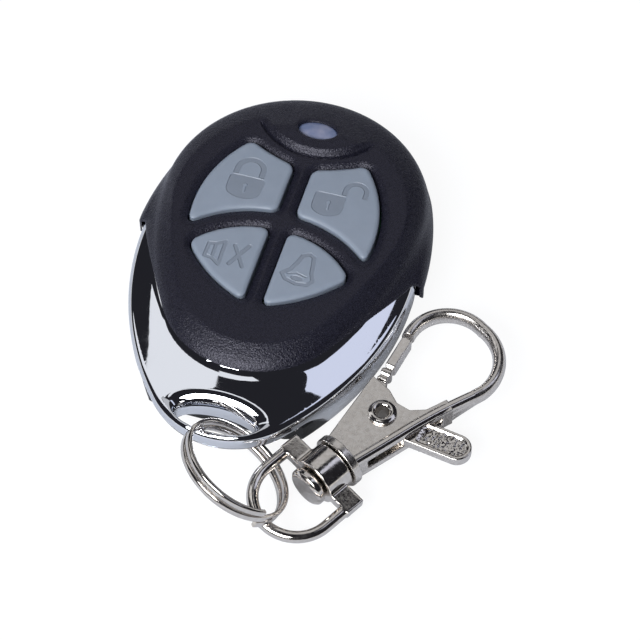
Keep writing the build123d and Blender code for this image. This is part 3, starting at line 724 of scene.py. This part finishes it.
def cover_spots(low, high):
    """Inner points: close together on every lip and on the lobe's step, even elsewhere."""
    edge_lines = [0.02, 0.06, 0.13, 0.23, 0.36, 0.52, 0.7, 0.85, 1.0, 1.2, 1.4, 1.6]
    pocket_lines = [0.02, 0.06, 0.12, 0.2, 0.3, 0.42, 0.56, 0.72, 0.88, 1.04]
    window_lines = [0.03, 0.08, 0.16, 0.26, 0.4, 0.55]
    crease_lines = [-0.5, -0.3, -0.1, 0.1, 0.3]
    spots = [
        along(cover_region, low, high, 0.3, edge_lines),
        along(lambda x, y: -pockets(x, y), low, high, 0.22, pocket_lines),
        along(lambda x, y: -window_distance(x, y), (-5, 15), (5, 23), 0.15, window_lines),
        along(lambda x, y: egg_distance(FIELD, x, y), low, high, 0.3, crease_lines),
        fill(cover_open, low, high, 0.45, 0.1),
    ]
    turns = np.arange(-0.95, 0.95, 0.014)
    reaches = np.arange(8.4, 10.5, 0.06)
    turns, reaches = np.meshgrid(turns, reaches, indexing="ij")
    step = np.stack([reaches * np.sin(turns), LOBE_Y - reaches * np.cos(turns)], axis=-1)
    step = step.reshape(-1, 2)
    return np.concatenate(spots + [step[cover_open(*step.T) > 0.1]])


def straight(depth):
    """Wall of one depth."""
    return lambda top, level: [(top - [0, 0, depth], 0)]


def down_to(z):
    """Wall down to one height."""
    return lambda top, level: [(np.column_stack([top[:, :2], np.full(len(top), z)]), 0)]


def bezel():
    """Chrome shroud with the wall round the tail, the wall of the slot and the tail's underside."""
    low, high = (-20, -31), (20, 1.5)
    edge_lines = [0.01, 0.04, 0.09, 0.16, 0.26, 0.38, 0.52, 0.68, 0.85]
    slot_lines = [0.01, 0.04, 0.09, 0.16, 0.26, 0.4, 0.6, 0.85, 1.1, 1.4]
    spots = [
        along(chrome_edge, low, high, 0.3, edge_lines),
        along(lambda x, y: -slot_distance(x, y), (-8, -30.5), (8, -23), 0.15, slot_lines),
        fill(chrome_region, low, high, 0.4, 0.05),
    ]
    flat, faces = triangles(chrome_region, low, high, 0.25, np.concatenate(spots))
    shape = Shape()
    points, normals = shape.add_sheet(flat, faces, chrome_height)

    def side(top, level):
        rise = smooth_step((CHROME_RISE_Y - top[:, 1]) / CHROME_RISE_LONG)
        foot = CHROME_FOOT_Z + (TAIL_UNDER_Z - CHROME_FOOT_Z) * rise
        rows = []
        for share in (0.12, 0.25, 0.38, 0.5, 0.62, 0.75, 0.88, 1.0):
            row = top - level * 0.45 * share**2
            row[:, 2] = top[:, 2] - (top[:, 2] - foot) * share
            rows.append((row, -0.3 * share))
        rows.append((rows[-1][0] - level * 0.4, -1))
        return rows

    on_edge = lambda x, y: abs(chrome_edge(x, y)) < 0.03
    on_slot = lambda x, y: abs(slot_distance(x, y)) < 0.05
    shape.add_wall(flat, faces, points, normals, side, on_edge)
    shape.add_wall(flat, faces, points, normals, down_to(TAIL_UNDER_Z), on_slot)

    def under(x, y):
        return np.minimum.reduce([chrome_edge(x, y) - 0.4, TAIL_CUT_Y - y, -slot_distance(x, y)])

    high = (20, -22)
    flat, faces = triangles(under, low, high, 0.4, fill(under, low, high, 1.0, 0.1))
    points = np.column_stack([flat, np.full(len(flat), TAIL_UNDER_Z)])
    shape.add(points, np.tile([0, 0, -1.0], (len(flat), 1)), faces[:, ::-1])
    return shape.piece("chrome_shroud", "fob", [CHROME], ["chrome_bezel"])


# Pictograms on the keys

def stroke(x, y, points, half, closed=False):
    """Field of a pen line through some points."""
    ends = points[1:] + (points[:1] if closed else [])
    least = np.full(np.shape(x), 1e9)
    for (ax, ay), (bx, by) in zip(points, ends):
        px, py, dx, dy = x - ax, y - ay, bx - ax, by - ay
        share = np.clip((px * dx + py * dy) / (dx * dx + dy * dy), 0, 1)
        least = np.minimum(least, np.hypot(px - share * dx, py - share * dy))
    return half - least


def padlock(x, y, middle, top_y, half_w, shackle, low_leg, high_leg):
    """Body with a keyhole, and a shackle: centre, radius and pen, with the feet of its two legs."""
    bulge = oval_distance(x, y, (middle, top_y - 1.2), (1.28 * half_w, 2.7))
    body = round_all([top_y - y, half_w - np.abs(x - middle), bulge], 0.5)
    slit = stroke(x, y, [(middle, top_y - 1.6), (middle + 0.1, top_y - 2.7)], 0.12)
    hole = np.maximum(0.24 - np.hypot(x - middle, y - top_y + 1.55), slit)
    cx, cy, r, pen = shackle
    arch = pen - np.abs(np.where(y > cy, np.hypot(x - cx, y - cy), np.abs(x - cx)) - r)
    arch = np.minimum(arch, np.where(x < cx, y - low_leg, y - high_leg))
    return np.maximum(np.minimum(body, -hole), arch)


def locked(x, y):
    return padlock(x, y, -6.7, 8.45, 2.5, (-6.75, 9.65, 1.8, 0.42), 8.62, 8.62)


def unlocked(x, y):
    return padlock(x, y, 5.05, 8.75, 2.2, (8.17, 9.95, 1.42, 0.36), 8.9, 9.05)


def horn(x, y):
    cone = [(-8.3, -3.8), (-7.35, -3.7), (-6.2, -3.0), (-6.1, -6.9), (-7.25, -6.05), (-8.3, -5.95)]
    return np.maximum.reduce([
        stroke(x, y, cone, 0.27, True),
        stroke(x, y, [(-7.35, -3.7), (-7.25, -6.05)], 0.24),
        stroke(x, y, [(-4.8, -3.3), (-2.9, -6.4)], 0.3),
        stroke(x, y, [(-2.95, -2.9), (-4.75, -6.4)], 0.3),
    ])


def bell(x, y):
    wall = [(5.2, -1.95), (5.85, -2.3), (6.05, -3.4), (6.25, -4.9), (6.75, -6.1), (6.1, -6.9),
            (4.6, -7.05), (3.1, -6.6), (2.45, -5.85), (3.4, -4.9), (3.95, -3.7), (4.35, -2.4)]
    mouth = [(3.2, -5.75), (4.3, -5.35), (5.7, -5.7)]
    clapper = oval_distance(x, y, (4.6, -6.2), (0.85, 0.42))
    return np.maximum.reduce([stroke(x, y, wall, 0.3, True), stroke(x, y, mouth, 0.14), clapper])


def key_cap(name, sign):
    """Key with a slight crown, and its pictogram sunk into it in a darker tone."""
    field = KEYS[name]
    side = -1 if name in ("lock", "mute") else 1
    low, high = ((0.9, -12.2), (13.2, 15.4)) if side > 0 else ((-13.2, -12.2), (-0.9, 15.4))
    crown_x, crown_y = KEY_CROWNS[name]
    drawn = lambda x, y: sign(x, y - SIGN_SHIFT)

    def height(x, y):
        sunk = SIGN_DEEP * smooth_step(drawn(x, y) / 0.14 + 0.3)
        away = (x - crown_x) ** 2 + (y - crown_y) ** 2
        crown = KEY_CROWN * np.exp(-away / KEY_CROWN_SPREAD)
        return KEY_TOP_Z + crown - softened(field(x, y), *KEY_LIP) - sunk

    lines = contour(lambda x, y: np.minimum(drawn(x, y), field(x, y) - 0.3), low, high, 0.09)
    edge_lines = [0.01, 0.04, 0.09, 0.16, 0.25, 0.36, 0.5, 0.65, 0.8]
    spots = [
        along(field, low, high, 0.2, edge_lines),
        along(drawn, low, high, 0.09, [-0.05, 0.06, 0.11]),
        fill(field, low, high, 0.3, 0.1),
    ]
    spots = np.concatenate(spots)
    spots = spots[field(*spots.T) > 0.005]
    flat, faces = triangles(field, low, high, 0.2, spots, lines)
    shape = Shape()
    signed = (drawn(*flat[faces].mean(axis=1).T) > 0).astype(int)
    points, normals = shape.add_sheet(flat, faces, height, signed)
    shape.add_wall(flat, faces, points, normals, down_to(KEY_WALL_Z))
    return shape.piece(name + "_cap", name + "_button", [KEY, KEY_SIGN], [name + "_key"])


def window_lens():
    half = (WINDOW_HALF[0] + 0.25, WINDOW_HALF[1] + 0.25)
    region = lambda x, y: oval_distance(x, y, (0, WINDOW_Y), half)
    low, high = (-3.2, 17), (3.2, 21.2)

    def height(x, y):
        reach = (x / 2.8) ** 2 + ((y - WINDOW_Y) / 1.7) ** 2
        return LENS_Z + LENS_CROWN * np.sqrt(np.clip(1.02 - reach, 0.001, None))

    flat, faces = triangles(region, low, high, 0.15, fill(region, low, high, 0.15, 0.03))
    shape = Shape()
    points, normals = shape.add_sheet(flat, faces, height)
    shape.add_wall(flat, faces, points, normals, down_to(LENS_WALL_Z))
    return shape.piece("window_lens", "fob", [LENS], ["led_lens"])


# Split ring

RING_R = 7.5
RING_PITCH = 1.08
RING_TURNS = 2
RING_CENTRE = Vector((4.97, -33.74, 7.46))
RING_NORMAL = Vector((0.485, 0.412, 0.772)).normalized()
RING_WIDE = 0.455
RING_THICK = 0.33
RING_SQUARE = 0.55
RING_STEPS = 360
RING_SIDES = 24


def rounded(value, power):
    """Cosine or sine drawn out towards its ends, for a section between round and square."""
    return abs(value) ** power * np.sign(value)


def ring():
    """Two turns of flattened wire, one unbroken tube with cut ends."""
    start = RING_NORMAL.cross(Vector((0, 0, 1))).normalized()
    other = RING_NORMAL.cross(start)
    steps, sides = RING_STEPS, RING_SIDES
    points, normals = [], []
    for i in range(steps + 1):
        angle = 2 * pi * RING_TURNS * i / steps
        out = start * cos(angle) + other * sin(angle)
        rise = RING_PITCH * (angle / (2 * pi) - RING_TURNS / 2)
        middle = RING_CENTRE + out * RING_R + RING_NORMAL * rise
        for k in range(sides):
            across = rounded(cos(2 * pi * k / sides), RING_SQUARE)
            up = rounded(sin(2 * pi * k / sides), RING_SQUARE)
            point = middle + out * (across * RING_THICK) + RING_NORMAL * (up * RING_WIDE)
            points.append(tuple(point))
            facing = out * (across * abs(across)) + RING_NORMAL * (up * abs(up))
            normals.append(tuple(facing.normalized()))
    faces = []
    for i in range(steps):
        for k in range(sides):
            a, b = i * sides + k, i * sides + (k + 1) % sides
            faces.append((a, a + sides, b + sides, b))
    shape = Shape()
    shape.add(np.array(points), np.array(normals), faces)
    for row, way in ((0, -1), (steps, 1)):
        ring_points = np.array(points[row * sides:(row + 1) * sides])
        angle = 2 * pi * RING_TURNS * row / steps
        ahead = (other * cos(angle) - start * sin(angle)) * way
        order = list(range(sides)) if way < 0 else list(range(sides))[::-1]
        shape.add(ring_points, np.tile(tuple(ahead), (sides, 1)), [order])
    return shape.piece("ring_wire", "ring", [NICKEL], ["split_ring"])


# Hook, eye and gate: plan places of the hook's parts along its stem, and where the stem lies

PIVOT = (8.2, 0.5)
GATE_TIP = (19.05, 6.8)
GATE_ROOT = (12.1, 4.6)
TAB_HALF_W = 1.95
TAB_END = (11.95, -9.3)
HOOK_START = (16.5, -26.5, 3.8)
HOOK_TURN = 60
HOOK_TILT = -1
HOOK_PLACE = (
    Matrix.Translation(HOOK_START)
    @ Matrix.Rotation(radians(HOOK_TURN), 4, "Z")
    @ Matrix.Rotation(radians(HOOK_TILT), 4, "Y")
)

# Grooves round the gate bar: place along it, width and depth; the swell between them
GATE_GROOVES = ((2.1, 0.26, 0.34), (0.7, 0.3, 0.22))
GATE_SWELL = (1.4, 0.35, 0.06)

# Hollow of the thumb tab: width of its rim, where it starts, its depth and its pits
TAB_RIM = 0.42
TAB_HOLLOW_START = 5.2
TAB_HOLLOW_DEEP = 0.24
TAB_PIT_DEEP = 0.13
TAB_PITS_PER_MM = 3.4

# Rolled rivet heads: radius, width and rise
RIVET_ROLL = (1.3, 0.3, 0.2)

# Bars on the arm: middle line, height of their middle and half their depth at each of its points
BAR_LINE = [(0.3, -2.05), (5.0, -2.85), (10.0, -3.62), (13.2, -4.25), (16.6, -4.85), (19.4, -5.42)]
BAR_HEIGHTS = [1.5, 1.5, 1.5, 1.42, 0.75, 0.3]
BAR_HALF_DEPTHS = [0.62, 0.62, 0.62, 0.66, 0.85, 0.9]
BAR_HALF_W = 0.74
BAR_SQUARE = 0.8
BAR_STEPS = 61
BAR_SIDES = 20


def cast_piece(name, node, body, made, voxel=0.1, rounds=4, change=None):
    """A CAD solid whose edges are softened as on a cast and plated part."""
    source = frame["nodes"][node].data.copy()
    source.transform(Matrix.Scale(1 / MM, 4))
    work = bpy.data.objects.new(name + ".work", source)
    bpy.context.scene.collection.objects.link(work)
    remesh = work.modifiers.new("remesh", "REMESH")
    remesh.mode = "VOXEL"
    remesh.voxel_size = voxel
    smooth = work.modifiers.new("smooth", "SMOOTH")
    smooth.factor = 0.5
    smooth.iterations = rounds
    bpy.context.view_layer.update()
    depsgraph = bpy.context.evaluated_depsgraph_get()
    mesh = bpy.data.meshes.new_from_object(work.evaluated_get(depsgraph))
    bpy.data.objects.remove(work)
    if change is not None:
        change(mesh)
    mesh.transform(Matrix.Scale(MM, 4))
    mesh.materials.clear()
    mesh.materials.append(made)
    mesh.polygons.foreach_set("use_smooth", np.ones(len(mesh.polygons), bool))
    mesh.polygons.foreach_set("material_index", np.zeros(len(mesh.polygons), np.int32))
    mesh.name = name
    return placed(mesh, name, body, [node])


def reshape(mesh, move):
    """Moves the points of a mesh, worked out along the hook's stem."""
    points = np.empty(len(mesh.vertices) * 3)
    mesh.vertices.foreach_get("co", points)
    turn = np.array(HOOK_PLACE.to_3x3())
    place = np.array(HOOK_PLACE.translation)
    local = move((points.reshape(-1, 3) - place) @ turn)
    mesh.vertices.foreach_set("co", (local @ turn.T + place).ravel())


def beside(local, start, end):
    """Distance along a line in the plate's plane and to its side, and the line's length."""
    way = np.subtract(end, start)
    length = np.hypot(*way)
    way = way / length
    x, y = local[:, 0] - start[0], local[:, 1] - start[1]
    ahead = x * way[0] + y * way[1]
    return ahead, y * way[0] - x * way[1], length


def gate_details(mesh):
    """Two grooves round the gate bar, and the pitted hollow in the thumb tab."""
    def move(local):
        ahead, aside, length = beside(local, GATE_ROOT, GATE_TIP)
        on_bar = (ahead > 0.1) & (np.abs(aside) < 1.2) & (ahead < length + 0.5)
        pinch = sum(depth * hump(ahead, at, wide) for at, wide, depth in GATE_GROOVES)
        at, wide, rise = GATE_SWELL
        factor = np.where(on_bar, 1 - pinch + rise * hump(ahead, at, wide), 1)
        centre_x = GATE_ROOT[0] + ahead * (GATE_TIP[0] - GATE_ROOT[0]) / length
        centre_y = GATE_ROOT[1] + ahead * (GATE_TIP[1] - GATE_ROOT[1]) / length
        local = local.copy()
        local[:, 0] = centre_x + (local[:, 0] - centre_x) * factor
        local[:, 1] = centre_y + (local[:, 1] - centre_y) * factor
        local[:, 2] *= factor
        ahead, aside, length = beside(local, PIVOT, TAB_END)
        reach = np.where(ahead > length, np.hypot(ahead - length, aside), np.abs(aside))
        hollow = smooth_step((TAB_HALF_W - reach - TAB_RIM) / 0.3)
        hollow = hollow * smooth_step((ahead - TAB_HOLLOW_START) / 0.6)
        pits = np.array([mathutils.noise.noise(Vector(p) * TAB_PITS_PER_MM) for p in local])
        face = np.abs(local[:, 2]) > 0.5
        sink = np.where(face, hollow * (TAB_HOLLOW_DEEP + TAB_PIT_DEEP * pits), 0)
        local[:, 2] -= np.sign(local[:, 2]) * sink
        return local

    reshape(mesh, move)


def rivet_details(mesh):
    """Heads rolled over round the bore."""
    def move(local):
        at, wide, rise = RIVET_ROLL
        r = np.hypot(local[:, 0] - PIVOT[0], local[:, 1] - PIVOT[1])
        height = np.abs(local[:, 2])
        head = smooth_step((height - height.max() + 0.3) / 0.2)
        local[:, 2] += np.sign(local[:, 2]) * rise * head * hump(r, at, wide)
        return local

    reshape(mesh, move)


def arm_bars():
    """Rounded bars that carry the bow's line on over both faces of the plate."""
    share = np.linspace(0, 1, BAR_STEPS)
    knots = np.linspace(0, 1, len(BAR_LINE))
    rows = [*zip(*BAR_LINE), BAR_HEIGHTS, BAR_HALF_DEPTHS]
    rows = [np.pad(np.interp(share, knots, row), 4, "edge") for row in rows]
    xs, ys, zs, ts = (np.convolve(row, np.full(9, 1 / 9), "valid") for row in rows)
    ways = np.stack([np.gradient(xs), np.gradient(ys)], axis=1)
    ways /= np.hypot(*ways.T)[:, None]
    sides = BAR_SIDES
    shape = Shape()
    turn = np.array(HOOK_PLACE.to_3x3())
    for face in (1, -1):
        points, normals = [], []
        for x, y, z, t, (wx, wy) in zip(xs, ys, zs, ts, ways):
            for k in range(sides):
                c, s = cos(2 * pi * k / sides), sin(2 * pi * k / sides)
                out = BAR_HALF_W * rounded(c, BAR_SQUARE)
                rise = t * rounded(s, BAR_SQUARE)
                points.append((x - wy * out, y + wx * out, face * (z + rise)))
                normals.append((-wy * c, wx * c, face * s))
        faces = []
        for i in range(len(xs) - 1):
            for k in range(sides):
                a, b = i * sides + k, i * sides + (k + 1) % sides
                quad = (a, b, b + sides, a + sides)
                faces.append(quad if face > 0 else quad[::-1])
        placed_points = np.array(points) @ turn.T + np.array(HOOK_PLACE.translation)
        shape.add(placed_points, np.array(normals) @ turn.T, faces)
    return shape.piece("hook_arm_bars", "hook", [NICKEL])


# Camera, floor and lights

CAMERA_PLACE = Vector((51.96, -155.48, 226.55))
CAMERA_AZIMUTH = 16.44
CAMERA_ELEVATION = 55.04
CAMERA_LENS = 113.65

# Floor: half its width in metres, its colour under the lamps and its glow for the camera
FLOOR_HALF = 3
FLOOR_COLOR = (0.43, 0.45, 0.5, 1)
FLOOR_GLOW = 1.15

# Share of white on the floor, seen directly and in metal
FLOOR_SEEN = 0.8
FLOOR_MIRRORED = 0.08

# Dark room, and the heights over the horizon between which the white ends
ROOM_COLOR = (0.018, 0.018, 0.022, 1)
HORIZON = (0.03, 0.12)

# Distance of the panels, and the point that they face
PANEL_AWAY = 0.6
PANEL_TARGET = Vector((0, -0.012, 0.008))


def photo_camera():
    """Camera of the photograph, as fitted to the back, the slot, the ring and the hook."""
    azimuth, elevation = radians(CAMERA_AZIMUTH), radians(CAMERA_ELEVATION)
    level = cos(elevation)
    ahead = Vector((-sin(azimuth) * level, cos(azimuth) * level, -sin(elevation)))
    right = Vector((cos(azimuth), sin(azimuth), 0))
    up = right.cross(ahead)
    data = bpy.data.cameras.new("camera")
    data.sensor_width = 36
    data.lens = CAMERA_LENS
    data.clip_start = 0.01
    camera = bpy.data.objects.new("camera", data)
    bpy.context.scene.collection.objects.link(camera)
    turn = Matrix((right, up, -ahead)).transposed().to_4x4()
    camera.matrix_world = Matrix.Translation(CAMERA_PLACE * MM) @ turn
    bpy.context.scene.camera = camera


def math_node(nodes, links, operation, first, second):
    node = nodes.new("ShaderNodeMath")
    node.operation = operation
    for socket, value in zip(node.inputs, (first, second)):
        if isinstance(value, float):
            socket.default_value = value
        else:
            links.new(value, socket)
    return node.outputs[0]


def seen_share(nodes, links, seen, mirrored):
    """Share of the white background for camera rays, and for rays that metal or glass sends on."""
    path = nodes.new("ShaderNodeLightPath").outputs
    sent = math_node(nodes, links, "MAXIMUM", path["Is Glossy Ray"], path["Is Transmission Ray"])
    sent = math_node(nodes, links, "MULTIPLY", sent, mirrored)
    direct = math_node(nodes, links, "MULTIPLY", path["Is Camera Ray"], seen)
    return math_node(nodes, links, "MAXIMUM", direct, sent)


def floor():
    mesh = bpy.data.meshes.new("floor")
    h = FLOOR_HALF
    mesh.from_pydata([(-h, -h, 0), (h, -h, 0), (h, h, 0), (-h, h, 0)], [], [(0, 1, 2, 3)])
    obj = bpy.data.objects.new("floor", mesh)
    bpy.context.scene.collection.objects.link(obj)
    made = bpy.data.materials.new("floor_white")
    made.use_nodes = True
    nodes, links = made.node_tree.nodes, made.node_tree.links
    shader = nodes["Principled BSDF"]
    shader.inputs["Base Color"].default_value = FLOOR_COLOR
    shader.inputs["Roughness"].default_value = 0.9
    glow = nodes.new("ShaderNodeEmission")
    glow.inputs["Strength"].default_value = FLOOR_GLOW
    mix = nodes.new("ShaderNodeMixShader")
    links.new(seen_share(nodes, links, FLOOR_SEEN, FLOOR_MIRRORED), mix.inputs[0])
    links.new(shader.outputs[0], mix.inputs[1])
    links.new(glow.outputs[0], mix.inputs[2])
    links.new(mix.outputs[0], nodes["Material Output"].inputs["Surface"])
    mesh.materials.append(made)


def softbox(name, bearing, height, wide, tall, glow, color=(1, 1, 1), lean=0, mirrored=True,
            shift=(0, 0)):
    """Rectangular lamp that faces the part.

    Bearing and height of its middle, widths and lean are in degrees. The shift moves it in its
    own plane, in shares of its distance.
    """
    away, target = PANEL_AWAY, PANEL_TARGET
    b, h = radians(bearing), radians(height)
    way = Vector((sin(b) * cos(h), cos(b) * cos(h), sin(h)))
    data = bpy.data.lights.new(name, "AREA")
    data.shape = "RECTANGLE"
    data.size = 2 * away * tan(radians(wide / 2))
    data.size_y = 2 * away * tan(radians(tall / 2))
    data.energy = pi * data.size * data.size_y * glow
    data.color = color
    lamp = bpy.data.objects.new(name, data)
    bpy.context.scene.collection.objects.link(lamp)
    turn = (-way).to_track_quat("-Z", "Y").to_matrix() @ Matrix.Rotation(radians(lean), 3, "Z")
    place = target + away * (way + turn @ Vector((*shift, 0)))
    lamp.matrix_world = Matrix.Translation(place) @ turn.to_4x4()
    lamp.visible_glossy = mirrored


def world():
    """White for the camera; metal sees white up to just over the horizon and a dark room above."""
    made = bpy.data.worlds.new("studio")
    bpy.context.scene.world = made
    made.use_nodes = True
    nodes, links = made.node_tree.nodes, made.node_tree.links
    back = nodes["Background"]
    back.inputs["Color"].default_value = ROOM_COLOR
    white = nodes.new("ShaderNodeBackground")
    white.inputs["Color"].default_value = (1, 1, 1, 1)
    coords = nodes.new("ShaderNodeTexCoord")
    parts = nodes.new("ShaderNodeSeparateXYZ")
    links.new(coords.outputs["Generated"], parts.inputs[0])
    low_band = nodes.new("ShaderNodeMapRange")
    low_band.interpolation_type = "SMOOTHSTEP"
    for socket, value in zip(("From Min", "From Max", "To Min", "To Max"), (*HORIZON, 1.0, 0.0)):
        low_band.inputs[socket].default_value = value
    links.new(parts.outputs["Z"], low_band.inputs["Value"])
    mix = nodes.new("ShaderNodeMixShader")
    links.new(seen_share(nodes, links, 1.0, low_band.outputs[0]), mix.inputs[0])
    links.new(back.outputs[0], mix.inputs[1])
    links.new(white.outputs[0], mix.inputs[2])
    links.new(mix.outputs[0], nodes["World Output"].inputs["Surface"])


cover()
bezel()
for key_name, key_sign in (("lock", locked), ("unlock", unlocked), ("mute", horn), ("chime", bell)):
    key_cap(key_name, key_sign)
window_lens()
ring()
cast_piece("hook_casting", "hook_body", "hook", CAST)
cast_piece("stem_turned", "swivel_stem", "hook", NICKEL)
cast_piece(
    "rivet_turned", "gate_rivet", "hook", NICKEL, voxel=0.07, rounds=14, change=rivet_details
)
cast_piece("gate_casting", "gate_lever", "gate", NICKEL, rounds=7, change=gate_details)
arm_bars()
cast_piece("eye_casting", "swivel_eye", "eye", NICKEL, rounds=14)
for node, made in INNER_MATERIALS.items():
    for slot in frame["nodes"][node].material_slots:
        slot.material = made

photo_camera()
floor()
world()
softbox("key_light", -140, 62, 60, 60, 1.1, mirrored=False)
softbox("left_panel", -77, 50, 14.6, 50, 0.9, (0.97, 0.98, 1.0), lean=8)
softbox("left_panel_top", -77, 50, 8.6, 17.1, 0.9, (0.97, 0.98, 1.0), lean=8, shift=(0.125, 0.616))
softbox("right_panel", 66, 51, 17, 42, 0.9, (0.80, 0.84, 1.0), lean=-10)
softbox("front_panel", -166, 43, 40, 26, 12.0, (0.96, 0.98, 1.0))
softbox("back_panel", -12, 48, 40, 44, 0.55, (0.97, 0.98, 1.0))

scene = bpy.context.scene
scene.view_settings.view_transform = "Standard"
